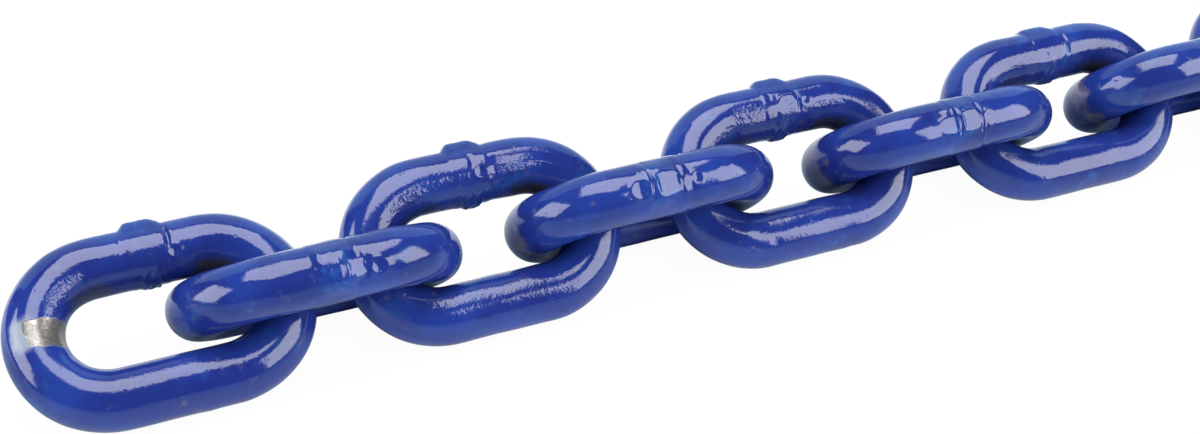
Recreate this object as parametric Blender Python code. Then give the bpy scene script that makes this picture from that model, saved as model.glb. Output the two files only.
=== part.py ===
"""Short-link lifting chain, one metre of it, lying straight and taut on a level floor.

Every link is a bar bent to a loop and closed with a weld in the middle of one leg.
Neighbouring links stand crosswise, so on the floor all of them lean about 45 degrees,
the odd ones one way and the even ones the other, each with its weld in the leg on top.
Each link rests on its lower leg, and the play between links lets some of them roll a
little further. The chain runs along +X, and the origin is on the floor below its middle.
"""

import math

import bpy
import numpy as np
from mathutils import Matrix, Vector

BAR = 0.013
INNER_LENGTH = 3.0 * BAR
INNER_WIDTH = 0.0165
LINK_COUNT = 25
CLEARANCE = 0.0004

WELD_LENGTH = 0.009
WELD_BEVEL = 0.001
WELD_SWELL = 1.08

LEAN = math.radians(45.0)
NEAR_ROLLS = (-9, 5, 1, 0, 0, 3, -4, 0, -4)
FAR_ROLL = 3.0
FAR_ROLL_STEP = 2.0
END_LINK_SLACK = 0.004

CROWN_STEPS = 8
BEVEL_RESOLUTION = 4
CROWN_LINE_POINTS = 61
SEARCH_STEPS = 24

CROWN_RADIUS = (INNER_WIDTH + BAR) / 2
HALF_STRAIGHT = (INNER_LENGTH + BAR) / 2 - CROWN_RADIUS
CROWN_REACH = HALF_STRAIGHT + CROWN_RADIUS
MIDDLE_LINK = (LINK_COUNT + 1) // 2

LACQUER_COLOUR = (0.020, 0.050, 0.300, 1.0)
LACQUER_ROUGHNESS = 0.22


def clear_scene():
    """Remove every object that the file holds."""
    for old in list(bpy.data.objects):
        bpy.data.objects.remove(old, do_unlink=True)


def lacquer_material():
    """Blue lacquer over steel."""
    material = bpy.data.materials.new("blue_lacquer")
    material.use_nodes = True
    shader = material.node_tree.nodes["Principled BSDF"]
    shader.inputs["Base Color"].default_value = LACQUER_COLOUR
    shader.inputs["Roughness"].default_value = LACQUER_ROUGHNESS
    shader.inputs["Metallic"].default_value = 0.0
    return material


def crown_points(side):
    """Points round one bent end, as (x, y, radius factor); side is 1 at +X and -1 at -X."""
    points = []
    for step in range(CROWN_STEPS + 1):
        turn = math.pi * step / CROWN_STEPS
        x = side * (HALF_STRAIGHT + CROWN_RADIUS * math.sin(turn))
        y = -side * CROWN_RADIUS * math.cos(turn)
        points.append((x, y, 1.0))
    return points


def weld_points():
    """Points along the welded leg, from +X to -X: the collar with its short bevels."""
    half = WELD_LENGTH / 2
    inside = half - WELD_BEVEL
    return [
        (half, CROWN_RADIUS, 1.0),
        (inside, CROWN_RADIUS, WELD_SWELL),
        (-inside, CROWN_RADIUS, WELD_SWELL),
        (-half, CROWN_RADIUS, 1.0),
    ]


def link_curve(material):
    """The bar's centre line, a closed loop in the XY plane with the weld in its +Y leg."""
    points = crown_points(1) + weld_points() + crown_points(-1)
    curve = bpy.data.curves.new("link", "CURVE")
    curve.dimensions = "3D"
    curve.bevel_depth = BAR / 2
    curve.bevel_resolution = BEVEL_RESOLUTION
    spline = curve.splines.new("POLY")
    spline.points.add(len(points) - 1)
    for point, (x, y, factor) in zip(spline.points, points):
        point.co = (x, y, 0.0, 1.0)
        point.radius = factor
    spline.use_cyclic_u = True
    spline.use_smooth = True
    curve.materials.append(material)
    return curve


def link_roll(number):
    """Angle of a link's plane about the chain's run, with its welded leg on top."""
    if number <= len(NEAR_ROLLS):
        settled = NEAR_ROLLS[number - 1]
    else:
        settled = FAR_ROLL * math.sin(FAR_ROLL_STEP * (number - MIDDLE_LINK))
    lean = LEAN if number % 2 == 1 else math.pi - LEAN
    return lean + math.radians(settled)


def bar_drop(roll):
    """How far the many-sided bar reaches below, or beside, its own centre line."""
    side = math.tau / (2 * (BEVEL_RESOLUTION + 2))
    off_corner = (roll + side / 2) % side - side / 2
    return BAR / 2 * math.cos(off_corner)


def link_height(roll):
    """Height of a link's centre when its lower leg rests on the floor."""
    return CROWN_RADIUS * math.sin(roll) + bar_drop(roll)


def crown_line(side, centre, roll):
    """Centre line of one bent end of a link, as an array of points in space."""
    turn = np.linspace(0.0, np.pi, CROWN_LINE_POINTS)
    along = side * (HALF_STRAIGHT + CROWN_RADIUS * np.sin(turn))
    across = CROWN_RADIUS * np.cos(turn)
    line = np.stack([along, across * math.cos(roll), across * math.sin(roll)], axis=1)
    return line + np.array(centre)


def taut_step(roll, next_roll):
    """Largest distance between two neighbours' centres at which their bars don't touch.

    The crowns hook into each other, so pulling the links apart brings the bars closer.
    The search halves the interval between the links pushed in and pulled too far.
    """
    near, far = 2 * HALF_STRAIGHT + CROWN_RADIUS, 2 * CROWN_REACH
    crown = crown_line(1, (0.0, 0.0, link_height(roll)), roll)
    for _ in range(SEARCH_STEPS):
        middle = (near + far) / 2
        hooked = crown_line(-1, (middle, 0.0, link_height(next_roll)), next_roll)
        gap = np.linalg.norm(crown[:, None] - hooked[None], axis=2).min() - BAR
        if gap > CLEARANCE:
            near = middle
        else:
            far = middle
    return near


def half_widths(roll):
    """How far a link reaches to the side of its centre: its welded leg, then its plain leg."""
    leg = CROWN_RADIUS * abs(math.cos(roll))
    return leg + bar_drop(roll) * WELD_SWELL, leg + bar_drop(roll)


def chain_layout():
    """Centre and roll of every link, with the chain's box centred on the origin."""
    rolls = [link_roll(number) for number in range(1, LINK_COUNT + 1)]
    runs = [0.0]
    for roll, next_roll in zip(rolls, rolls[1:]):
        runs.append(runs[-1] + taut_step(roll, next_roll))
    runs[0] += END_LINK_SLACK
    middle = (runs[0] + runs[-1]) / 2
    odd = [half_widths(roll) for roll in rolls[0::2]]
    even = [half_widths(roll) for roll in rolls[1::2]]
    far_side = max([welded for welded, _ in odd] + [plain for _, plain in even])
    near_side = max([plain for _, plain in odd] + [welded for welded, _ in even])
    line = (near_side - far_side) / 2
    return [
        (Vector((run - middle, line, link_height(roll))), roll)
        for run, roll in zip(runs, rolls)
    ]


def add_link(collection, curve, number, parent, pivot_matrix, centre):
    """A link, hung from an empty that stands where the link swings on its neighbour."""
    pivot = bpy.data.objects.new(f"swing_{number:02d}", None)
    pivot.empty_display_size = BAR
    pivot.matrix_world = pivot_matrix
    collection.objects.link(pivot)
    link = bpy.data.objects.new(f"link_{number:02d}", curve)
    link.parent = pivot
    link.location = pivot_matrix.inverted() @ centre
    collection.objects.link(link)
    if parent is not None:
        pivot.parent = parent
        pivot.matrix_parent_inverse = parent.matrix_world.inverted()
    return pivot


def main():
    clear_scene()
    chain = bpy.data.collections.new("lifting_chain")
    bpy.context.scene.collection.children.link(chain)
    curve = link_curve(lacquer_material())
    pivot = None
    crown = None
    for number, (centre, roll) in enumerate(chain_layout(), start=1):
        swings_at = centre if crown is None else crown
        lean = Matrix.Rotation(roll, 4, "X")
        pivot = add_link(chain, curve, number, pivot, Matrix.Translation(swings_at) @ lean, centre)
        crown = centre + Vector((CROWN_REACH, 0.0, 0.0))
        bpy.context.view_layer.update()


main()
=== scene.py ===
"""Looks of one metre of short-link lifting chain in glossy blue lacquer, lying straight and taut.

Every link is one round bar bent to a loop and closed by a weld in the middle of its upper leg.
Each gets a mesh of its own: the bar carried round the loop, with the upset collar and trimmed
flash of its weld, the flats that bending leaves in its crowns, and dents. The lacquer over it
is thick and slightly rippled, thin on edges, and rubbed off to the steel where links bear.
"""

import math

import bpy
import numpy as np
from mathutils import Matrix, Vector


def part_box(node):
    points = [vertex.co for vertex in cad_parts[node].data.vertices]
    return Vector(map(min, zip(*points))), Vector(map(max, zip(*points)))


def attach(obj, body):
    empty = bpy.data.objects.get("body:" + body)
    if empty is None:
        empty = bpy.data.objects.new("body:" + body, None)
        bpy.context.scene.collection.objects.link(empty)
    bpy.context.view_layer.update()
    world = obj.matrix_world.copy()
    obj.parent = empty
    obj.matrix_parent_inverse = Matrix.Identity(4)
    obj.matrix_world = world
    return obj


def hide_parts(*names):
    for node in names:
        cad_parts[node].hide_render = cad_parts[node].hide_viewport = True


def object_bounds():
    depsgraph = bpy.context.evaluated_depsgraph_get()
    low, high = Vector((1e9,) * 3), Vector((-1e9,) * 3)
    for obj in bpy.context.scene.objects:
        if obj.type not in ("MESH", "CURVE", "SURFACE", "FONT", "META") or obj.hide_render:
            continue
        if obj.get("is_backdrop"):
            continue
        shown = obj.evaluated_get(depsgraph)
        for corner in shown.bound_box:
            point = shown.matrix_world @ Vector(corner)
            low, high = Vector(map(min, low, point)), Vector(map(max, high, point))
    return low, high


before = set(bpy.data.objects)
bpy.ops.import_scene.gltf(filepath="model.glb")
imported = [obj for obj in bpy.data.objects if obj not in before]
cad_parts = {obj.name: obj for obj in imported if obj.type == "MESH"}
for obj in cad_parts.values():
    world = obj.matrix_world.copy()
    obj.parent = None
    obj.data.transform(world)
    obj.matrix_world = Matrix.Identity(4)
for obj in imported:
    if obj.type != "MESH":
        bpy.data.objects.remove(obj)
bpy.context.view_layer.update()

bl_info = {
    "name": "Lacquered lifting chain",
    "version": (1, 0, 0),
    "blender": (4, 5, 0),
    "location": "View3D > Sidebar > Chain",
    "description": "Builds a straight length of blue short-link lifting chain around its solids",
    "category": "Add Mesh",
}

MILLIMETRE = 0.001

BAR_DIAMETER = 0.013
INNER_WIDTH = 0.0165
SHOWN_LINKS = 9
LINK_NAMES = sorted(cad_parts)
LINK_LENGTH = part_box(LINK_NAMES[0])[1].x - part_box(LINK_NAMES[0])[0].x
INNER_LENGTH = LINK_LENGTH - 2 * BAR_DIAMETER


class ChainLinkSizes(bpy.types.PropertyGroup):
    """Sizes of one link and of the marks that its making leaves."""

    bar_diameter: bpy.props.FloatProperty(
        name="Bar diameter", description="Thickness of the round bar",
        default=BAR_DIAMETER, min=0.001, unit="LENGTH", subtype="DISTANCE", precision=4,
    )
    inner_length: bpy.props.FloatProperty(
        name="Inner length", description="Length of a link's opening, along the chain",
        default=INNER_LENGTH, min=0.001, unit="LENGTH", subtype="DISTANCE", precision=4,
    )
    inner_width: bpy.props.FloatProperty(
        name="Inner width", description="Width of a link's opening, between its two legs",
        default=INNER_WIDTH, min=0.001, unit="LENGTH", subtype="DISTANCE", precision=4,
    )
    weld_length: bpy.props.FloatProperty(
        name="Weld length", description="Length of the upset collar along the leg",
        default=0.0088, min=0.001, unit="LENGTH", subtype="DISTANCE", precision=4,
    )
    collar_height: bpy.props.FloatProperty(
        name="Collar height", description="How far the collar stands over the bar",
        default=0.00012, unit="LENGTH", subtype="DISTANCE", precision=5,
    )
    outer_flash: bpy.props.FloatProperty(
        name="Outer flash", description="Height of the trimmed flash on the link's outside",
        default=0.0013, unit="LENGTH", subtype="DISTANCE", precision=5,
    )
    inner_flash: bpy.props.FloatProperty(
        name="Inner flash", description="Height of the rough flash on the link's inside",
        default=0.0007, unit="LENGTH", subtype="DISTANCE", precision=5,
    )
    waviness: bpy.props.FloatProperty(
        name="Waviness", description="Height of the slow unevenness of bent and coated bar",
        default=0.00003, unit="LENGTH", subtype="DISTANCE", precision=5,
    )
    dent_depth: bpy.props.FloatProperty(
        name="Dent depth", description="Depth of the deepest dents",
        default=0.00022, unit="LENGTH", subtype="DISTANCE", precision=5,
    )
    seed: bpy.props.IntProperty(
        name="Seed", description="Start of the random numbers that set dents and waves",
        default=7, min=0,
    )


class ChainFinish(bpy.types.PropertyGroup):
    """Colours and gloss of the lacquer and of the steel under it."""

    lacquer: bpy.props.FloatVectorProperty(
        name="Lacquer", description="Colour of the lacquer at its full thickness",
        subtype="COLOR", size=4, min=0, max=1, default=(0.009, 0.0175, 0.130, 1.0),
    )
    bright_lacquer: bpy.props.FloatVectorProperty(
        name="Bright lacquer", description="Colour of the patches where the lacquer is lighter",
        subtype="COLOR", size=4, min=0, max=1, default=(0.011, 0.030, 0.192, 1.0),
    )
    thin_lacquer: bpy.props.FloatVectorProperty(
        name="Thin lacquer", description="Colour on edges and patches that the lacquer barely covers",
        subtype="COLOR", size=4, min=0, max=1, default=(0.012, 0.085, 0.26, 1.0),
    )
    steel: bpy.props.FloatVectorProperty(
        name="Steel", description="Colour of the bare steel",
        subtype="COLOR", size=4, min=0, max=1, default=(0.275, 0.265, 0.25, 1.0),
    )
    # Painted shade as well as real soiling: this dark colour also paints the shade inside the crowns,
    # where the next link shades them.
    brown_and_shade: bpy.props.FloatVectorProperty(
        name="Brown", description="Colour of burnt lacquer and of grime between links",
        subtype="COLOR", size=4, min=0, max=1, default=(0.027, 0.028, 0.022, 1.0),
    )
    worn_lacquer: bpy.props.FloatVectorProperty(
        name="Worn lacquer", description="Colour where the lacquer is nearly worn through",
        subtype="COLOR", size=4, min=0, max=1, default=(0.21, 0.24, 0.29, 1.0),
    )
    scuffed_lacquer: bpy.props.FloatVectorProperty(
        name="Scuffed tip", description="Colour of the metal that shows through at the links' worn tips",
        subtype="COLOR", size=4, min=0, max=1, default=(0.128, 0.122, 0.185, 1.0),
    )
    gloss_roughness: bpy.props.FloatProperty(
        name="Gloss roughness", description="Roughness of the clean lacquer",
        default=0.09, min=0, max=1, subtype="FACTOR",
    )
    steel_roughness: bpy.props.FloatProperty(
        name="Steel roughness", description="Roughness of the bare steel",
        default=0.29, min=0, max=1, subtype="FACTOR",
    )
    peel_size: bpy.props.FloatProperty(
        name="Ripple size", description="Distance between the ripples of the lacquer's surface",
        default=0.0011, unit="LENGTH", subtype="DISTANCE", precision=5,
    )


class ChainStudio(bpy.types.PropertyGroup):
    """Floor, lights and camera."""

    aim: bpy.props.FloatVectorProperty(
        name="Aim", description="Point of the floor that the camera looks at",
        default=(-0.3495, 0.022, 0.0), unit="LENGTH", subtype="TRANSLATION", precision=4,
    )
    distance: bpy.props.FloatProperty(
        name="Distance", description="Distance from the camera to its aim",
        default=0.4425, min=0.01, unit="LENGTH", subtype="DISTANCE", precision=4,
    )
    azimuth: bpy.props.FloatProperty(
        name="Azimuth", description="Direction of view, from along +Y towards +X",
        default=math.radians(23.96), unit="ROTATION", subtype="ANGLE",
    )
    elevation: bpy.props.FloatProperty(
        name="Elevation", description="How steeply the camera looks down",
        default=math.radians(32.8), unit="ROTATION", subtype="ANGLE",
    )
    roll: bpy.props.FloatProperty(
        name="Roll", description="Turn of the camera about its direction of view",
        default=math.radians(0.525), unit="ROTATION", subtype="ANGLE",
    )
    lens: bpy.props.FloatProperty(
        name="Lens", description="Focal length on a sensor 36 mm wide",
        default=54.42, min=1, unit="CAMERA",
    )
    soft_box_radiance: bpy.props.FloatProperty(
        name="Soft boxes", description="Radiance of the three soft boxes",
        default=6.5, min=0,
    )
    backdrop_radiance: bpy.props.FloatProperty(
        name="Backdrop", description="Radiance of the lit backdrop behind the chain",
        default=0.95, min=0,
    )
    room_radiance: bpy.props.FloatProperty(
        name="Room", description="Radiance of the room round the stage",
        default=0.05, min=0,
    )
    light_distance: bpy.props.FloatProperty(
        name="Light distance", description="Distance from the chain to the soft boxes",
        default=2.6, min=0.5, unit="LENGTH", subtype="DISTANCE",
    )
    floor_colour: bpy.props.FloatVectorProperty(
        name="Floor", description="Colour of the floor",
        subtype="COLOR", size=4, min=0, max=1, default=(0.85, 0.85, 0.85, 1.0),
    )
    lit_floor: bpy.props.FloatVectorProperty(
        name="Lit floor", description="Colour of the floor behind the chain, as the chain reflects it",
        subtype="COLOR", size=4, min=0, max=1, default=(0.72, 0.72, 0.72, 1.0),
    )
    # Painted shade: the floor before the chain, in the chain's shadow, as the chain reflects it.
    dim_floor: bpy.props.FloatVectorProperty(
        name="Dim floor", description="Colour of the floor before the chain, as the chain reflects it",
        subtype="COLOR", size=4, min=0, max=1, default=(0.27, 0.38, 0.46, 1.0),
    )
    floor_glow: bpy.props.FloatProperty(
        name="Floor glow", description="Share of glow in what the camera sees of the floor",
        default=0.96, min=0, max=1, subtype="FACTOR",
    )


def smooth_step(x):
    """0 below 0 and 1 above 1, with 3 x^2 - 2 x^3 between."""
    x = np.clip(x, 0.0, 1.0)
    return x * x * (3.0 - 2.0 * x)


def plateau(x, start, end, rise, fall):
    """1 from start + rise to end - fall, 0 outside start and end, smooth steps between."""
    return smooth_step((x - start) / rise) * smooth_step((end - x) / fall)


def hill(x, width):
    """The bell exp(-(x / width)^2)."""
    return np.exp(-((x / width) ** 2))


def turn_between(angle, other):
    """The turn from other to angle, brought between minus and plus half a turn."""
    return (angle - other + math.pi) % (2.0 * math.pi) - math.pi


class Loop:
    """A link's centre line: two straight legs joined by two half circles.

    A place on it is its distance from the middle of the welded leg, from minus to plus half
    of the loop's length, positive towards +X. Out to half_leg it is straight at height radius,
    then turns by (distance - half_leg) / radius round the crown's centre, and comes back
    straight at height minus radius. Everything is the same on the side towards -X.
    """

    def __init__(self, sizes):
        self.bar = sizes.bar_diameter
        self.radius = (sizes.inner_width + self.bar) / 2.0
        self.half_leg = (sizes.inner_length + self.bar) / 2.0 - self.radius
        self.crown = math.pi * self.radius
        self.length = 4.0 * self.half_leg + 2.0 * self.crown

    def place(self, along):
        """Points (x, y) of the centre line and the outward directions (x, y) there."""
        side = np.where(along < 0.0, -1.0, 1.0)
        away = np.abs(along)
        turn = np.clip((away - self.half_leg) / self.radius, 0.0, math.pi)
        back = np.clip(away - self.half_leg - self.crown, 0.0, None)
        x = np.minimum(away, self.half_leg) + self.radius * np.sin(turn) - back
        y = self.radius * np.cos(turn)
        points = np.stack((side * x, y), axis=-1)
        outward = np.stack((side * np.sin(turn), np.cos(turn)), axis=-1)
        return points, outward

    def crown_turn(self, along):
        """Turn round the crown, from 0 at the welded leg to pi at the plain one, signed by side."""
        turn = np.clip((np.abs(along) - self.half_leg) / self.radius, 0.0, math.pi)
        return np.where(along < 0.0, -turn, turn)


def ring_places(loop, rings, crowding):
    """Places of the rings along the loop, crowded together at the weld.

    With t from 0 to 1 the place is length * (t - crowding * sin(2 pi t) / (2 pi)), and what
    is past half of the length counts as negative.
    """
    t = np.arange(rings) / rings
    along = loop.length * (t - crowding * np.sin(2.0 * math.pi * t) / (2.0 * math.pi))
    return np.where(along > loop.length / 2.0, along - loop.length, along)


def slow_waves(along, around, length, rng, count, least, most):
    """Uneven waves that close on themselves both ways, with a mean square of about one.

    The sum of sqrt(2 / count) * cos(2 pi m along / length + n around + phase) over count
    random waves, each with whole numbers m from least to most and n up to a third of m.
    """
    total = np.zeros(np.broadcast_shapes(along.shape, around.shape))
    for _ in range(count):
        m = rng.integers(least, most + 1)
        n = rng.integers(-(m // 3) - 1, m // 3 + 2)
        phase = rng.uniform(0.0, 2.0 * math.pi)
        total += np.cos(2.0 * math.pi * m * along / length + n * around + phase)
    return total * math.sqrt(2.0 / count)


class WeldKind:
    """How one weld was trimmed, in millimetres, and how uneven the lacquer is on its link.

    Places are given along the leg and round the bar, from the middle of the weld's outside.
    shift and flash move the flash along the leg and scale its height, slope is the length of
    its sloping end, and lean turns it round the bar by degrees. A flat is a patch that the
    trimming tool left plane: its two places, half its length, half its width, the direction it
    faces in degrees round the bar, how high it lies over the bar, and how much higher it gets
    for each millimetre towards +X. A ring is a round hollow in a raised rim: its two places,
    radius and depth. A cut runs across the
    bar: its place along, where it starts and ends round the bar, its half width and its
    depth, which is negative for a ridge. Where the lacquer lies rough is given by two places,
    half the patch's length, half its width and how rough it is.
    """

    def __init__(
        self, shift, flash, uneven, flats=(), rings=(), cuts=(), rough=(), slope=3.6, lean=0.0
    ):
        self.shift = shift
        self.flash = flash
        self.slope = slope
        self.lean = lean
        self.uneven = uneven
        self.flats = flats
        self.rings = rings
        self.cuts = cuts
        self.rough = rough

    def face_marks(self):
        """The rings and cuts that lie on the link's face, well round from the outside."""
        rings = [ring for ring in self.rings if ring[1] > FACE_START]
        cuts = [cut for cut in self.cuts if cut[1] > FACE_START]
        return rings, cuts


FACE_START = 5.0
WELD_KINDS = (
    WeldKind(
        0.0, 1.05, 0.8, lean=-5.0,
        rings=((5.5, 12.6, 1.25, 0.30),),
        cuts=((4.7, 6.5, 11.6, 0.45, 0.34), (-5.2, 7.5, 11.0, 0.3, 0.08)),
        rough=((-21.5, 13.4, 8.0, 1.8, 3.5),),
    ),
    WeldKind(
        0.5, 0.50, 0.25,
        flats=((5.0, 0.8, 1.4, 2.2, 3.0, 0.10, -0.18),),
        rings=((9.4, 1.5, 1.7, 0.34),),
        cuts=((1.2, -1.0, 3.4, 0.26, -0.12), (2.9, -0.8, 3.6, 0.26, -0.12), (7.1, -3.0, 3.4, 0.8, 0.16)),
    ),
    WeldKind(
        0.1, 0.95, 1.0, lean=-14.0,
        flats=((14.0, 9.0, 9.0, 1.6, 80.0, -0.20, 0.0), (4.6, 11.2, 0.8, 1.0, 96.0, 0.0, -0.2)),
        rings=((1.9, 11.0, 1.35, 0.26),),
        cuts=((0.5, 6.5, 9.6, 0.6, 0.26), (-3.4, 13.0, 17.0, 0.4, 0.2)),
        rough=((-18.0, 12.9, 9.0, 1.5, 2.5), (10.0, 11.9, 5.5, 1.2, 3.5), (13.0, 8.0, 7.0, 0.7, 2.0)),
    ),
    WeldKind(
        -2.2, 0.52, 0.2, slope=5.6,
        flats=((-0.4, 0.3, 2.5, 2.7, 5.0, 0.10, -0.08), (3.7, 1.8, 0.7, 1.7, 12.0, 0.0, -0.1)),
        rings=((-7.2, 0.6, 2.0, 0.32), (6.4, 0.7, 1.3, 0.26)),
        cuts=((-4.2, -3.6, 3.6, 0.28, 0.24), (5.1, -2.6, 3.0, 0.35, 0.16)),
    ),
    WeldKind(
        0.8, 0.80, 0.75, lean=-12.0,
        flats=((1.8, 10.0, 2.1, 1.7, 95.0, 0.05, 0.0), (-2.8, 8.2, 1.0, 0.8, 74.0, 0.05, -0.1)),
        rings=((6.6, 10.6, 1.1, 0.16),),
        cuts=((4.9, 8.2, 12.6, 0.30, 0.30), (-1.0, 12.6, 15.5, 0.35, 0.22)),
        rough=((-8.0, 10.6, 6.5, 1.7, 2.0), (-14.0, 13.6, 9.0, 1.6, 2.0), (12.0, 12.5, 6.5, 1.0, 2.5)),
    ),
    WeldKind(
        -2.2, 0.14, 0.2,
        flats=((-5.7, 0.5, 2.3, 2.0, 5.0, -0.02, 0.0), (0.6, 0.2, 2.1, 2.6, 3.0, -0.02, 0.0),
               (5.4, 0.6, 1.0, 2.2, 5.0, -0.05, 0.0)),
        cuts=((3.5, -3.4, 3.4, 0.45, 0.26), (-2.5, -3.0, 3.0, 0.40, 0.24)),
    ),
    WeldKind(
        0.3, 0.65, 0.45, lean=-6.0,
        flats=((-5.0, 12.3, 4.0, 1.5, 104.0, -0.08, 0.0),),
        cuts=((5.4, 7.6, 12.6, 0.32, 0.32),),
        rough=((-7.5, 12.6, 6.0, 0.9, 1.6),),
    ),
    WeldKind(
        -1.2, 0.45, 0.35,
        flats=((-1.6, 0.1, 2.1, 2.4, 3.0, 0.05, -0.05), (4.2, -0.4, 1.0, 1.8, 0.0, 0.0, -0.1)),
        rings=((-6.3, 1.0, 1.6, 0.22), (8.0, 0.2, 1.3, 0.22), (-25.0, -1.5, 0.8, 0.14)),
        cuts=((1.5, -3.2, 3.2, 0.35, 0.20),),
    ),
)


def weld_kind(number):
    """The kind of weld of a link: each of the first links its own, and then again in turn."""
    return WELD_KINDS[(number - 1) % len(WELD_KINDS)]


def cut_flats(height, a, s, bar_radius, flats):
    """A height over the bar with flats in it, in millimetres, at a along the leg and s round it.

    In a flat the height is (radius + level) / cos(angle from the way it faces) - radius, plus
    its tilt times the distance along. Its mask is 1 inside a rounded box and falls smoothly
    to 0 from 0.85 to 1.15 of the box's size.
    """
    for along, round_bar, half_length, half_width, facing, level, tilt in flats:
        reach = (((a - along) / half_length) ** 4 + ((s - round_bar) / half_width) ** 4) ** 0.25
        mask = 1.0 - smooth_step((reach - 0.85) / 0.30)
        angle = np.clip(s / bar_radius - math.radians(facing), -1.2, 1.2)
        plane = (bar_radius + level) / np.cos(angle) - bar_radius + tilt * (a - along)
        height = height * (1.0 - mask) + plane * mask
    return height


def marks_relief(a, s, rings, cuts):
    """Height of rings and cuts in millimetres, at a along the leg and s round the bar.

    A ring is 0.4 of its depth in a bell round its radius, less its depth in a bell over its
    middle. A cut is a bell along the leg times a plateau round the bar.
    """
    total = np.zeros(np.broadcast_shapes(a.shape, s.shape))
    for along, round_bar, radius, depth in rings:
        reach = np.hypot(a - along, s - round_bar) / radius
        total += depth * (0.4 * hill(reach - 1.05, 0.28) - hill(reach, 0.62))
    for along, start, end, half_width, depth in cuts:
        middle = (start + end) / 2.0
        bow = 0.05 * (s - middle) ** 2
        total -= depth * hill(a - along + bow, half_width) * plateau(s, start - 0.5, end + 0.5, 1.0, 1.0)
    return total


class Weld:
    """Sizes that all welds share, in millimetres along the leg and degrees round the bar."""

    flash_ramp = 2.2
    flash_half_turn = 26.0
    flash_side_fall = 34.0
    trim_lines = ((-1.5, 0.04), (0.9, 0.05))
    trim_bow = 0.9
    end_groove = 0.10


def weld_relief(along, around, number, sizes, rng):
    """Height of the weld over the bar, in metres, and how much each point belongs to it.

    Along the leg the collar is a plateau of the weld's length. On the outside stands the
    trimmed flash, a dome that rises from the -X end and slopes to the +X end, crossed by
    bowed trim lines. The marks of its kind lie over it. The inside has a shorter, rougher
    flash. The face towards -Y has the marks of another kind.
    """
    kind = weld_kind(number)
    other = weld_kind(number + 3)
    a = along / MILLIMETRE
    half = sizes.weld_length / MILLIMETRE / 2.0
    degrees = np.degrees(turn_between(around, 0.0))
    inner = np.degrees(turn_between(around, math.pi))
    bar_radius = sizes.bar_diameter / MILLIMETRE / 2.0
    s = np.radians(degrees) * bar_radius
    grow = rng.uniform(0.9, 1.1, 3)
    repeat = (number - 1) // len(WELD_KINDS)
    jitter = rng.uniform(-0.7, 0.7) * min(repeat, 1)
    collar = sizes.collar_height * grow[0] * plateau(a, -half, half, 1.0, 0.8)
    across = plateau(
        degrees - kind.lean, -Weld.flash_half_turn - Weld.flash_side_fall,
        Weld.flash_half_turn + Weld.flash_side_fall, Weld.flash_side_fall, Weld.flash_side_fall,
    )
    moved = a - kind.shift - jitter
    body = plateau(moved, -half - 0.6, half + 0.6, Weld.flash_ramp, kind.slope)
    flash = sizes.outer_flash * kind.flash * grow[1] * body * across
    bow = Weld.trim_bow * (degrees / Weld.flash_half_turn) ** 2
    for place, height in Weld.trim_lines:
        flash = flash + height * MILLIMETRE * hill(moved - place + bow, 0.3) * across
    groove = hill(moved - half - 0.5 + bow * 0.25, 0.45) * hill(degrees, 50.0)
    serrated = 0.75 + 0.25 * np.sin(3.1 * a + 0.21 * inner)
    inner_body = plateau(a, -2.6, 2.1, 1.0, 0.5) * hill(inner, 30.0)
    inside = sizes.inner_flash * grow[2] * inner_body * serrated
    marks = marks_relief(a - jitter, s, kind.rings, kind.cuts)
    marks = marks + marks_relief(a + jitter, -s, *other.face_marks())
    height = (collar + flash + inside) / MILLIMETRE - Weld.end_groove * groove
    height = (cut_flats(height, a - jitter, s, bar_radius, kind.flats) + marks) * MILLIMETRE
    share = np.clip(body * across + inner_body, 0.0, 1.0)
    return height, share


def bending_relief(loop, along, around, sizes):
    """Height that bending leaves: the crowns' inside flattened, their sides a little fuller.

    Both follow sin^2 of the turn round the crown. The inside falls as a bell round the
    inward direction, and the sides rise with sin^2 of the angle round the bar.
    """
    bend = np.sin(loop.crown_turn(along)) ** 2
    inward = turn_between(around, math.pi)
    flat = -0.020 * sizes.bar_diameter * hill(inward, 0.75)
    full = 0.006 * sizes.bar_diameter * np.sin(around) ** 2
    return bend * (flat + full)


def die_marks(loop, along, around, rng):
    """Shallow hollows that the bending dies press into the face beside each shoulder.

    Each is a bell along the loop times a bell round the bar.
    """
    total = np.zeros(np.broadcast_shapes(along.shape, around.shape))
    for side in (-1.0, 1.0):
        for face in (-1.0, 1.0):
            middle = side * (loop.half_leg + rng.uniform(0.004, 0.010))
            spread = rng.uniform(0.005, 0.008)
            angle = face * math.radians(rng.uniform(104.0, 122.0))
            depth = rng.uniform(0.10, 0.26) * MILLIMETRE
            total -= depth * hill(along - middle, spread) * hill(turn_between(around, angle), 0.25)
        shoulder = side * (loop.half_leg + rng.uniform(0.0005, 0.0025))
        depth = rng.uniform(0.08, 0.16) * MILLIMETRE
        total -= depth * hill(along - shoulder, 0.0016) * hill(turn_between(around, -0.2), 0.7)
    return total


def dents(loop, along, around, sizes, rng, count):
    """Small round dents and pimples at random places, each a bell of the distance from it."""
    total = np.zeros(np.broadcast_shapes(along.shape, around.shape))
    bar = sizes.bar_diameter / 2.0
    for _ in range(count):
        place = rng.uniform(-loop.length / 2.0, loop.length / 2.0)
        angle = rng.uniform(-math.pi, math.pi)
        radius = rng.uniform(0.0004, 0.0016)
        depth = sizes.dent_depth * rng.uniform(0.15, 1.0) * radius / 0.0016
        sign = -1.0 if rng.random() < 0.6 else 0.55
        gap = (along - place + loop.length / 2.0) % loop.length - loop.length / 2.0
        reach = np.hypot(gap, turn_between(around, angle) * bar)
        total += sign * depth * hill(reach, radius)
    return total


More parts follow.
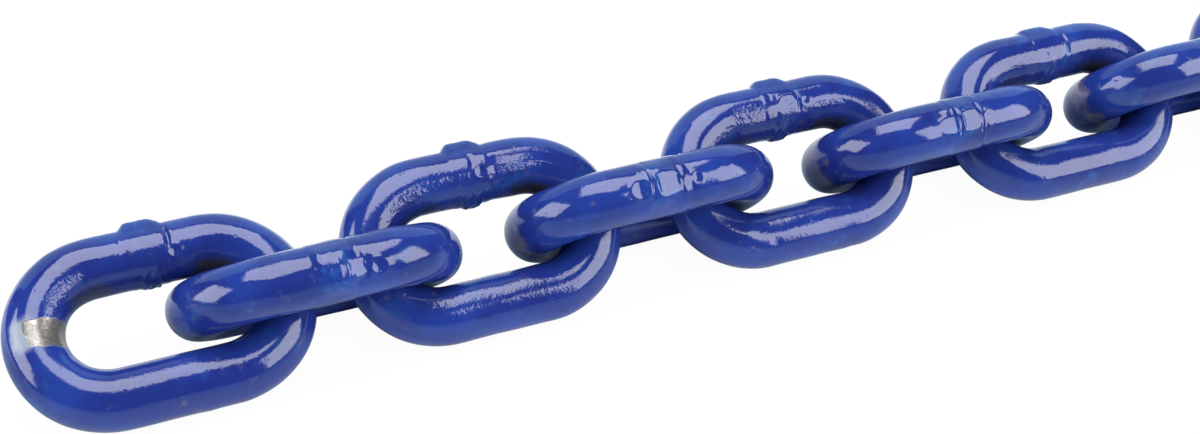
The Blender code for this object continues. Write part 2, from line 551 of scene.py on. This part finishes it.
def link_pose(node):
    """Centre of a packed link, and the unit vector from it towards its welded leg.

    The centre is halfway between the two ends furthest along the chain. Seen along the chain
    a link is long in its own plane, so the plane holds the direction of the larger spread,
    and the welded leg is on the side that reaches further.
    """
    flat = np.empty(3 * len(node.data.vertices), np.float32)
    node.data.vertices.foreach_get("co", flat)
    points = np.unique(flat.reshape(-1, 3).astype(float).round(6), axis=0)
    along = points[:, 0]
    edges = (along.min(), along.max())
    tips = [points[np.abs(along - edge) < 0.01 * MILLIMETRE].mean(axis=0) for edge in edges]
    centre = (tips[0] + tips[1]) / 2.0
    across = points[:, 1:] - centre[1:]
    direction = np.linalg.eigh(across.T @ across)[1][:, 1]
    reach = across @ direction
    if reach.max() < -reach.min():
        direction = -direction
    return centre, np.array((0.0, direction[0], direction[1]))


class Wear:
    """Which links the photo shows worn, and how far: shares from 0 to 1 by link number."""

    bare_crown = {1: 1.0}
    band_middle = math.radians(-84.5)
    band_half = 2.9 * MILLIMETRE
    band_edge = 1.5 * MILLIMETRE
    bare_start = math.radians(74.0)
    worn_start = math.radians(30.0)
    scuffed_tip = {1: 0.0, 2: 0.45, 3: 0.3, 4: 0.70, 5: 0.3, 6: 0.55, 7: 0.3, 8: 0.55, 9: 0.3}
    usual_tip = 0.5


def rubbed_share(loop, along, around, number, rng):
    """How bare a link's steel is, and how far worn the lacquer beside it, from 0 to 1.

    The first link has a band round its -X crown where the lacquer is gone over the face and
    the inside and worn thin towards the outside: a plateau of the length from its middle,
    which is the turn times the surface's distance from the crown's axis, times plateaus round
    the bar. Every crown's inside is rubbed where the next link bears, as a bell round the
    inward direction.
    """
    turn = loop.crown_turn(along)
    ragged = 0.10 * slow_waves(along, around, loop.length, rng, 14, 9, 40)
    from_axis = loop.radius + loop.bar / 2.0 * np.cos(around)
    reach = np.abs((turn - Wear.band_middle) * from_axis) + 0.002 * ragged
    from_outside = np.abs(turn_between(around, 0.0)) + 0.5 * ragged
    band = 1.0 - smooth_step((reach - Wear.band_half) / Wear.band_edge + 0.5)
    bare = band * smooth_step((from_outside - Wear.bare_start) / 0.25 + 0.5)
    bare = Wear.bare_crown.get(number, 0.0) * bare
    worn = 1.0 - smooth_step((reach - Wear.band_half) / (2.5 * Wear.band_edge) + 0.4)
    worn = worn * plateau(from_outside, Wear.worn_start, Wear.bare_start + 0.4, 0.6, 0.3)
    worn = Wear.bare_crown.get(number, 0.0) * worn
    inside = hill(turn_between(around, math.pi), 0.45) * np.sin(turn) ** 4
    share = np.maximum(bare, 0.60 * inside)
    return np.clip(share + 0.5 * ragged * (share > 0.05), 0.0, 1.0), worn


def scuffed_share(loop, along, around, number, rng):
    """How scuffed the lacquer is at the tip of the -X crown, from 0 to 1.

    A plateau of the turn round the crown's tip, with a wavy edge, times a plateau round the
    bar that leaves out the inside.
    """
    ragged = slow_waves(along, around, loop.length, rng, 16, 9, 44)
    reach = np.abs(loop.crown_turn(along) + math.pi / 2.0) + 0.05 * ragged
    tip = 1.0 - smooth_step((reach - 0.04) / 0.26)
    outside = 1.0 - smooth_step((np.abs(turn_between(around, 0.35)) - 1.2) / 0.6)
    return Wear.scuffed_tip.get(number, Wear.usual_tip) * tip * outside


def grime_and_shade_share(loop, along, around):
    """Dirt that gathers inside each crown beside the bearing place, with painted shade where the
    next link shades it, from 0 to 1.

    A plateau along the loop, from the leg into the crown, times one round the inside.
    """
    away = np.abs(along) / MILLIMETRE
    beside = plateau(away, 5.5, 27.0, 5.0, 7.0) * np.where(along < 0.0, 0.75, 1.0)
    beside = beside + 0.5 * hill(np.abs(loop.crown_turn(along)) - math.pi + 0.35, 0.45)
    inward = np.abs(turn_between(around, math.pi))
    return np.clip(beside * (1.0 - smooth_step((inward - 0.45) / 0.55)), 0.0, 1.0)


def uneven_share(loop, along, around, number):
    """How uneven the lacquer lies: from 0 to 1 in general, and more in the rough patches.

    It is uneven round the weld, on the faces of the welded leg towards its inside and along
    the inner side of the plain leg. A rough patch is 1 out to half of its size and falls
    smoothly to 0 a little outside it.
    """
    a = along / MILLIMETRE
    from_outside = np.abs(turn_between(around, 0.0))
    face = hill(from_outside - math.radians(112.0), math.radians(24.0))
    leg = face * plateau(a, -36.0, 24.0, 9.0, 8.0)
    under = smooth_step((from_outside - 2.1) / 0.5) * plateau(a, -24.0, 6.0, 6.0, 6.0)
    turn = np.abs(loop.crown_turn(along))
    plain = smooth_step((turn - 2.5) / 0.5) * hill(from_outside - math.radians(104.0), 0.5)
    weld = 0.15 * hill(a, 8.0) * np.ones_like(from_outside)
    zones = np.maximum(np.maximum(leg, under), np.maximum(plain, weld))
    kind = weld_kind(number)
    share = np.clip(0.06 + (0.10 + 0.85 * zones) * kind.uneven, 0.0, 1.0)
    s = turn_between(around, 0.0) * loop.bar / 2.0 / MILLIMETRE
    for place, round_bar, half_length, half_width, strength in kind.rough:
        reach = np.hypot((a - place) / half_length, (s - round_bar) / half_width)
        share = share + strength * (1.0 - smooth_step((reach - 0.5) / 0.6))
    return share


def closed_grid(rings, sides):
    """Corner numbers of the quads of a grid that closes both ways, facing outwards.

    Point i, j has number i * sides + j, with i along the loop and j round the bar.
    """
    i = np.arange(rings)[:, None]
    j = np.arange(sides)[None, :]
    next_i = (i + 1) % rings
    next_j = (j + 1) % sides
    corners = (i * sides + j, i * sides + next_j, next_i * sides + next_j, next_i * sides + j)
    return np.stack(corners, axis=-1).reshape(-1, 4)


def bar_map(loop, along, rings, sides):
    """Texture places of the quads' corners: length along the bar and round it, over the length."""
    place = np.append(along % loop.length, loop.length) / loop.length
    around = np.arange(sides + 1) / sides * math.pi * loop.bar / loop.length
    i = np.arange(rings)[:, None]
    j = np.arange(sides)[None, :]
    steps = ((i, j), (i, j + 1), (i + 1, j + 1), (i + 1, j))
    pairs = [np.stack(np.broadcast_arrays(place[a], around[b]), axis=-1) for a, b in steps]
    return np.stack(pairs, axis=2)


def build_link(name, number, sizes, rings, sides):
    """One link: the loop's points moved outwards by the bar's radius plus the relief.

    The point at angle around is centre + line + height * (cos around * outward + sin around
    * normal), where height is half the bar plus every relief above.
    """
    rng = np.random.default_rng([sizes.seed, number])
    loop = Loop(sizes)
    along = ring_places(loop, rings, 0.5)[:, None]
    around = (2.0 * math.pi * np.arange(sides) / sides)[None, :]
    weld, weld_share = weld_relief(along, around, number, sizes, rng)
    wave = slow_waves(along, around, loop.length, rng, 26, 3, 13)
    height = loop.bar / 2.0 + weld + bending_relief(loop, along, around, sizes)
    height = height + sizes.waviness * wave + die_marks(loop, along, around, rng)
    height = height + dents(loop, along, around, sizes, rng, 46)

    line, outward = loop.place(along[:, 0])
    in_plane = line[:, None, :] + (height * np.cos(around))[..., None] * outward[:, None, :]
    centre, upward = link_pose(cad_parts[name])
    normal = np.cross((1.0, 0.0, 0.0), upward)
    points = centre + in_plane[..., :1] * np.array((1.0, 0.0, 0.0)) + in_plane[..., 1:] * upward
    points = points + (height * np.sin(around))[..., None] * normal

    mesh = bpy.data.meshes.new("chain_" + name)
    quads = closed_grid(rings, sides)
    mesh.vertices.add(rings * sides)
    mesh.vertices.foreach_set("co", points.astype(np.float32).ravel())
    mesh.loops.add(quads.size)
    mesh.loops.foreach_set("vertex_index", quads.astype(np.int32).ravel())
    mesh.polygons.add(len(quads))
    mesh.polygons.foreach_set("loop_start", np.arange(0, quads.size, 4, dtype=np.int32))
    mesh.polygons.foreach_set("use_smooth", np.ones(len(quads), bool))
    mesh.update(calc_edges=True)
    texture = mesh.uv_layers.new(name="bar_map")
    texture.uv.foreach_set("vector", bar_map(loop, along[:, 0], rings, sides).astype(np.float32).ravel())
    rubbed, worn = rubbed_share(loop, along, around, number, rng)
    shares = {
        "rubbed": rubbed,
        "worn": worn,
        "scuffed": scuffed_share(loop, along, around, number, rng),
        "grime_and_shade": grime_and_shade_share(loop, along, around),
        "uneven": uneven_share(loop, along, around, number),
        "weld": weld_share,
    }
    for label, share in shares.items():
        attribute = mesh.attributes.new(label, "FLOAT", "POINT")
        attribute.data.foreach_set("value", share.astype(np.float32).ravel())
    if mesh.validate():
        raise RuntimeError(f"the mesh of {name} had faults")
    piece = bpy.data.objects.new("chain_" + name, mesh)
    bpy.context.scene.collection.objects.link(piece)
    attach(piece, name)
    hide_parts(name)
    return piece


class Field:
    """A value that varies over a surface: a node's output, with arithmetic that adds Math nodes."""

    def __init__(self, nodes, socket):
        self.nodes = nodes
        self.socket = socket

    def math(self, operation, first, second):
        """A Math node on two values."""
        return self.nodes.add("ShaderNodeMath", {"operation": operation}, {0: first, 1: second})

    def __add__(self, other):
        return self.math("ADD", self, other)

    def __radd__(self, other):
        return self.math("ADD", other, self)

    def __sub__(self, other):
        return self.math("SUBTRACT", self, other)

    def __rsub__(self, other):
        return self.math("SUBTRACT", other, self)

    def __mul__(self, other):
        return self.math("MULTIPLY", self, other)

    def __rmul__(self, other):
        return self.math("MULTIPLY", other, self)

    def __gt__(self, other):
        return self.math("GREATER_THAN", self, other)

    def larger(self, other):
        """The larger of two values."""
        return self.math("MAXIMUM", self, other)

    def step(self, low, high):
        """0 below low and 1 above high, smooth between."""
        return self.nodes.add(
            "ShaderNodeMapRange", {"interpolation_type": "SMOOTHSTEP"},
            {"Value": self, "From Min": low, "From Max": high},
        )


class Nodes:
    """The nodes of one material."""

    def __init__(self, name):
        self.material = bpy.data.materials.new(name)
        self.material.use_nodes = True
        self.tree = self.material.node_tree
        self.tree.nodes.clear()

    def add(self, kind, settings=None, inputs=None, output=0):
        """A node of that kind, with its settings made first and then its sockets."""
        node = self.tree.nodes.new(kind)
        for label, value in (settings or {}).items():
            setattr(node, label, value)
        for label, value in (inputs or {}).items():
            if isinstance(value, Field):
                self.tree.links.new(value.socket, node.inputs[label])
            else:
                node.inputs[label].default_value = value
        return Field(self, node.outputs[output])

    def mix(self, factor, first, second):
        """Colour first where factor is 0 and second where it is 1."""
        settings = {"data_type": "RGBA", "blend_type": "MIX"}
        return self.add("ShaderNodeMix", settings, {0: factor, 6: first, 7: second}, output=2)

    def noise(self, place, size, detail=2.0, roughness=0.5):
        """Noise of about that size in metres, from 0 to 1."""
        inputs = {"Vector": place, "Scale": 1.0 / size, "Detail": detail, "Roughness": roughness}
        return self.add("ShaderNodeTexNoise", {"noise_dimensions": "3D"}, inputs)

    def cells(self, place, size):
        """Distance from the nearest of random points about that size apart, over the size."""
        inputs = {"Vector": place, "Scale": 1.0 / size, "Randomness": 1.0}
        return self.add("ShaderNodeTexVoronoi", {"feature": "F1"}, inputs, output="Distance")

    def attribute(self, label):
        """A point attribute of the piece."""
        return self.add("ShaderNodeAttribute", {"attribute_name": label}, output="Fac")

    def finish(self, surface):
        """Join the surface to the material's output."""
        end = self.tree.nodes.new("ShaderNodeOutputMaterial")
        self.tree.links.new(surface.socket, end.inputs["Surface"])
        return self.material


def lacquered_steel(finish):
    """Glossy blue lacquer on steel, rubbed to the metal where the links bear.

    Orange-peel ripple, grit under the lacquer and pin-holes go into the bump, stronger where
    the lacquer lies uneven. The colour varies in clouds, goes teal where the lacquer is thin,
    grey where it is scuffed, dark and brownish where it is dirty and, as painted shade, where
    the next link shades the crowns' insides, and gives way to steel with a ragged edge.
    """
    nodes = Nodes("blue_lacquer_on_steel")
    place = nodes.add("ShaderNodeTexCoord", output="Object")
    ragged = nodes.noise(place, 0.0016, 4.0, 0.65)
    clouds = nodes.noise(place, 0.014, 3.0).step(0.35, 0.7)
    ripple = nodes.noise(place, finish.peel_size, 1.0, 0.4)
    fine_ripple = nodes.noise(place, finish.peel_size * 0.42, 1.0, 0.4)
    lumps = nodes.noise(place, 0.0009, 2.0, 0.55)
    patches = nodes.noise(place, 0.0075, 3.0, 0.6)
    grit_cell = nodes.cells(place, 0.0026)
    hole_cell = nodes.cells(place, 0.0026)
    rubbed = nodes.attribute("rubbed")
    worn = nodes.attribute("worn")
    scuffed = nodes.attribute("scuffed")
    grime_and_shade = nodes.attribute("grime_and_shade")
    uneven = nodes.attribute("uneven")
    weld = nodes.attribute("weld")

    bare = (rubbed + 0.34 * (ragged - 0.5)).step(0.40, 0.56)
    nearly_bare = (rubbed + 0.40 * (ragged - 0.5)).step(0.20, 0.42) * 0.35
    nearly_bare = nearly_bare.larger((worn + 0.3 * (ragged - 0.5)).step(0.08, 0.9)) * (1.0 - bare)
    blotches = nodes.noise(place, 0.0034, 3.0, 0.6)
    scuff = (scuffed + 1.7 * (blotches - 0.5) + 0.6 * (ragged - 0.5)).step(0.18, 0.74)
    thin = patches.step(0.59, 0.74) * 0.36 + weld * ragged.step(0.46, 0.62) * 0.45
    # Painted shade as well as real soiling: this mask darkens the crowns' insides beside the bearing
    # places, where the next link shades them.
    dirt_and_shade = (grime_and_shade + 0.6 * (patches - 0.5)).step(0.20, 1.10) * 0.90
    grit = (1.0 - grit_cell.step(0.05, 0.16)) * patches.step(0.42, 0.62)
    hole = (1.0 - hole_cell.step(0.07, 0.15)) * clouds.step(0.25, 0.75)

    colour = nodes.mix(clouds, tuple(finish.lacquer), tuple(finish.bright_lacquer))
    colour = nodes.mix(thin, colour, tuple(finish.thin_lacquer))
    colour = nodes.mix(nearly_bare * 0.85, colour, tuple(finish.worn_lacquer))
    colour = nodes.mix(scuff * 0.8, colour, tuple(finish.scuffed_lacquer))
    colour = nodes.mix(dirt_and_shade, colour, tuple(finish.brown_and_shade))
    scratches = nodes.noise(place, 0.0006, 3.0, 0.7)
    dull_steel = tuple(0.6 * part for part in finish.steel[:3]) + (1.0,)
    steel = nodes.mix(scratches.step(0.35, 0.7), dull_steel, tuple(finish.steel))
    colour = nodes.mix(bare, colour, steel)

    gloss = finish.gloss_roughness + 0.05 * patches.step(0.3, 0.8) + 0.25 * dirt_and_shade + 0.12 * scuff
    gloss = gloss + 0.26 * nearly_bare
    rough = gloss * (1.0 - bare) + finish.steel_roughness * bare
    peel = (ripple * 13.5 + fine_ripple * 9.0) * (1.0 - 0.7 * bare)
    peel = peel + (lumps * 75.0 + fine_ripple * 14.0) * uneven
    height = peel + grit * 22.0 - hole * 42.0 + ragged * (4.0 * weld + 5.0 * dirt_and_shade + 8.0 * scuff)
    height = (height - bare * 40.0 + scratches * bare * 8.0) * 1e-6
    bump = nodes.add(
        "ShaderNodeBump", None, {"Strength": 1.0, "Distance": 1.0, "Height": height}
    )
    shader = nodes.add("ShaderNodeBsdfPrincipled", None, {
        "Base Color": colour, "Roughness": rough, "Metallic": bare * 0.75 + scuff * 0.35, "Normal": bump,
        "IOR": 1.5,
    })
    return nodes.finish(shader)


def chain_material(context):
    """The one material that all links share, made when it is first asked for."""
    return bpy.data.materials.get("blue_lacquer_on_steel") or lacquered_steel(
        context.scene.chain_finish
    )


def build_links(context, names, rings, sides):
    """Build the named links with the shared material."""
    sizes = context.scene.chain_link_sizes
    for name in names:
        number = LINK_NAMES.index(name) + 1
        piece = build_link(name, number, sizes, rings, sides)
        piece.data.materials.append(chain_material(context))


class CHAIN_OT_shown_links(bpy.types.Operator):
    """Build the links that the camera sees, with a fine mesh"""

    bl_idname = "chain.shown_links"
    bl_label = "Shown links"

    def execute(self, context):
        build_links(context, LINK_NAMES[:SHOWN_LINKS], rings=288, sides=120)
        return {"FINISHED"}


class CHAIN_OT_further_links(bpy.types.Operator):
    """Build the rest of the chain, with a coarser mesh"""

    bl_idname = "chain.further_links"
    bl_label = "Further links"

    def execute(self, context):
        build_links(context, LINK_NAMES[SHOWN_LINKS:], rings=152, sides=48)
        return {"FINISHED"}


def add_floor(studio, height):
    """A wide pale floor, which to the camera also glows, so that shadows on it stay light.

    The glow's share grows from near the chain to far away, where the lights don't reach. In
    what the chain reflects, the floor's colour is painted darker from behind the chain to the
    front and further away: painted shade, as of a dark room that is lit only over the stage and
    of the chain's own shadow before it. A strip just in front of the chain glows to the chain's
    diffuse and glossy rays: painted bounce light on the chain's lower sides.
    """
    nodes = Nodes("pale_floor")
    place = nodes.add("ShaderNodeTexCoord", output="Object")
    away = nodes.add("ShaderNodeVectorMath", {"operation": "LENGTH"}, {0: place}, output="Value")
    seen = nodes.add("ShaderNodeLightPath", output="Is Camera Ray")
    reflected = nodes.add("ShaderNodeLightPath", output="Is Glossy Ray")
    scattered = nodes.add("ShaderNodeLightPath", output="Is Diffuse Ray")
    depth = nodes.add("ShaderNodeSeparateXYZ", None, {0: place}, output="Y")
    # Painted shade: in what the chain reflects, the floor is coloured lit behind the chain, dim before it
    # and dark further away.
    lit_behind = depth.step(-0.06, 0.10) * (1.0 - 0.55 * depth.step(0.3, 2.5))
    lit_in_front = (1.0 - (-1.0 * depth).step(0.0, 0.55)) * (1.0 - depth.step(-0.06, 0.10))
    lit = nodes.mix(lit_behind, (0.02, 0.03, 0.04, 1.0), tuple(studio.lit_floor))
    lit = nodes.mix(lit_in_front, lit, tuple(studio.dim_floor))
    colour = nodes.mix(reflected, tuple(studio.floor_colour), lit)
    glow = nodes.add(
        "ShaderNodeEmission", None, {"Color": (1.0, 1.0, 1.0, 1.0), "Strength": 1.0}
    )
    matt = nodes.add("ShaderNodeBsdfDiffuse", None, {"Color": colour})
    share = seen * (away.step(0.9, 2.6) * (1.0 - studio.floor_glow) + studio.floor_glow)
    surface = nodes.add("ShaderNodeMixShader", None, {0: share, 1: matt, 2: glow})
    # Painted bounce light: this strip of floor just before the chain glows to the chain's diffuse and
    # glossy rays, to light its lower sides.
    strip = (1.0 - (-1.0 * depth).step(0.024, 0.06)) * (1.0 - depth.step(-0.020, 0.0))
    bounce = nodes.add(
        "ShaderNodeEmission", None, {"Color": (0.85, 0.93, 1.0, 1.0), "Strength": 2.5}
    )
    lift = strip * (0.22 * reflected + 0.9 * scattered)
    surface = nodes.add("ShaderNodeMixShader", None, {0: lift, 1: surface, 2: bounce})
    material = nodes.finish(surface)
    half = 15.0
    corners = [(-half, -half, height), (half, -half, height), (half, half, height), (-half, half, height)]
    mesh = bpy.data.meshes.new("floor")
    mesh.from_pydata(corners, [], [(0, 1, 2, 3)])
    mesh.materials.append(material)
    floor = bpy.data.objects.new("floor", mesh)
    bpy.context.scene.collection.objects.link(floor)
    floor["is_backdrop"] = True


class SoftLights:
    """Where the lights stand, seen from the chain, in degrees.

    Each has its azimuth from +Y towards +X, its elevation, half of its width and half of its
    height, and its share of the soft boxes' radiance.
    """

    top = (24.0, 89.0, 22.0, 22.0)
    left = (269.0, 25.0, 22.0, 17.0)
    right = (134.0, 25.0, 20.0, 21.0)
    backdrop = (12.0, 30.0, 44.0, 30.0)
    backdrop_tint = (0.60, 0.88, 1.15)


def add_light(name, studio, place, radiance, tint=(1.0, 1.0, 1.0)):
    """A rectangular soft light that faces the chain, at that place seen from it."""
    azimuth, elevation, half_width, half_height = (math.radians(angle) for angle in place)
    towards = Vector((
        math.sin(azimuth) * math.cos(elevation), math.cos(azimuth) * math.cos(elevation),
        math.sin(elevation),
    ))
    light = bpy.data.lights.new(name, "AREA")
    light.shape = "RECTANGLE"
    light.size = 2.0 * studio.light_distance * math.tan(half_width)
    light.size_y = 2.0 * studio.light_distance * math.tan(half_height)
    light.energy = radiance * math.pi * light.size * light.size_y
    light.color = tint
    lamp = bpy.data.objects.new(name, light)
    lamp.location = Vector((studio.aim[0], 0.0, 0.0)) + towards * studio.light_distance
    lamp.rotation_mode = "QUATERNION"
    lamp.rotation_quaternion = (-towards).to_track_quat("-Z", "Y")
    lamp.visible_camera = False
    bpy.context.scene.collection.objects.link(lamp)


def add_room(studio):
    """The room: white where the camera looks, and dim in what the chain reflects."""
    world = bpy.data.worlds.new("room")
    world.use_nodes = True
    tree = world.node_tree
    dim = tree.nodes["Background"]
    dim.inputs["Color"].default_value = (0.9, 0.93, 1.0, 1.0)
    dim.inputs["Strength"].default_value = studio.room_radiance
    white = tree.nodes.new("ShaderNodeBackground")
    path = tree.nodes.new("ShaderNodeLightPath")
    blend = tree.nodes.new("ShaderNodeMixShader")
    tree.links.new(path.outputs["Is Camera Ray"], blend.inputs[0])
    tree.links.new(dim.outputs[0], blend.inputs[1])
    tree.links.new(white.outputs[0], blend.inputs[2])
    tree.links.new(blend.outputs[0], tree.nodes["World Output"].inputs["Surface"])
    bpy.context.scene.world = world


def add_camera(studio):
    """The camera, placed back from its aim along the direction of view."""
    flat = math.cos(studio.elevation)
    back = Vector((
        -math.sin(studio.azimuth) * flat, -math.cos(studio.azimuth) * flat, math.sin(studio.elevation)
    ))
    data = bpy.data.cameras.new("camera")
    data.sensor_width = 36.0
    data.lens = studio.lens
    data.clip_start = 0.01
    data.clip_end = 60.0
    camera = bpy.data.objects.new("camera", data)
    camera.location = Vector(studio.aim) + back * studio.distance
    turn = (-back).to_track_quat("-Z", "Y").to_matrix() @ Matrix.Rotation(studio.roll, 3, "Z")
    camera.rotation_mode = "QUATERNION"
    camera.rotation_quaternion = turn.to_quaternion()
    bpy.context.scene.collection.objects.link(camera)
    bpy.context.scene.camera = camera


class CHAIN_OT_stage(bpy.types.Operator):
    """Build the floor, the lights, the room and the camera"""

    bl_idname = "chain.stage"
    bl_label = "Stage"

    def execute(self, context):
        studio = context.scene.chain_studio
        bpy.context.view_layer.update()
        add_floor(studio, min(0.0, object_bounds()[0].z))
        for name in ("top", "left", "right"):
            place = getattr(SoftLights, name)
            add_light(name + "_soft_box", studio, place, studio.soft_box_radiance)
        add_light(
            "lit_backdrop", studio, SoftLights.backdrop, studio.backdrop_radiance,
            SoftLights.backdrop_tint,
        )
        add_room(studio)
        add_camera(studio)
        context.scene.view_settings.view_transform = "Standard"
        return {"FINISHED"}


class CHAIN_PT_looks(bpy.types.Panel):
    """The chain's sizes, colours and parts in the 3D view's sidebar."""

    bl_label = "Lacquered chain"
    bl_idname = "CHAIN_PT_looks"
    bl_space_type = "VIEW_3D"
    bl_region_type = "UI"
    bl_category = "Chain"

    def draw(self, context):
        for group in (
            context.scene.chain_link_sizes, context.scene.chain_finish, context.scene.chain_studio
        ):
            box = self.layout.box()
            for label in group.__annotations__:
                box.prop(group, label)
        for operator in PARTS:
            self.layout.operator(operator.bl_idname)


GROUPS = {
    "chain_link_sizes": ChainLinkSizes,
    "chain_finish": ChainFinish,
    "chain_studio": ChainStudio,
}
PARTS = (CHAIN_OT_shown_links, CHAIN_OT_further_links, CHAIN_OT_stage)


def register():
    for label, group in GROUPS.items():
        bpy.utils.register_class(group)
        setattr(bpy.types.Scene, label, bpy.props.PointerProperty(type=group))
    for part in (*PARTS, CHAIN_PT_looks):
        bpy.utils.register_class(part)


def unregister():
    for part in (CHAIN_PT_looks, *reversed(PARTS)):
        bpy.utils.unregister_class(part)
    for label, group in reversed(GROUPS.items()):
        delattr(bpy.types.Scene, label)
        bpy.utils.unregister_class(group)


def main():
    register()
    bpy.ops.chain.shown_links()
    bpy.ops.chain.further_links()
    bpy.ops.chain.stage()


if __name__ == "__main__":
    main()
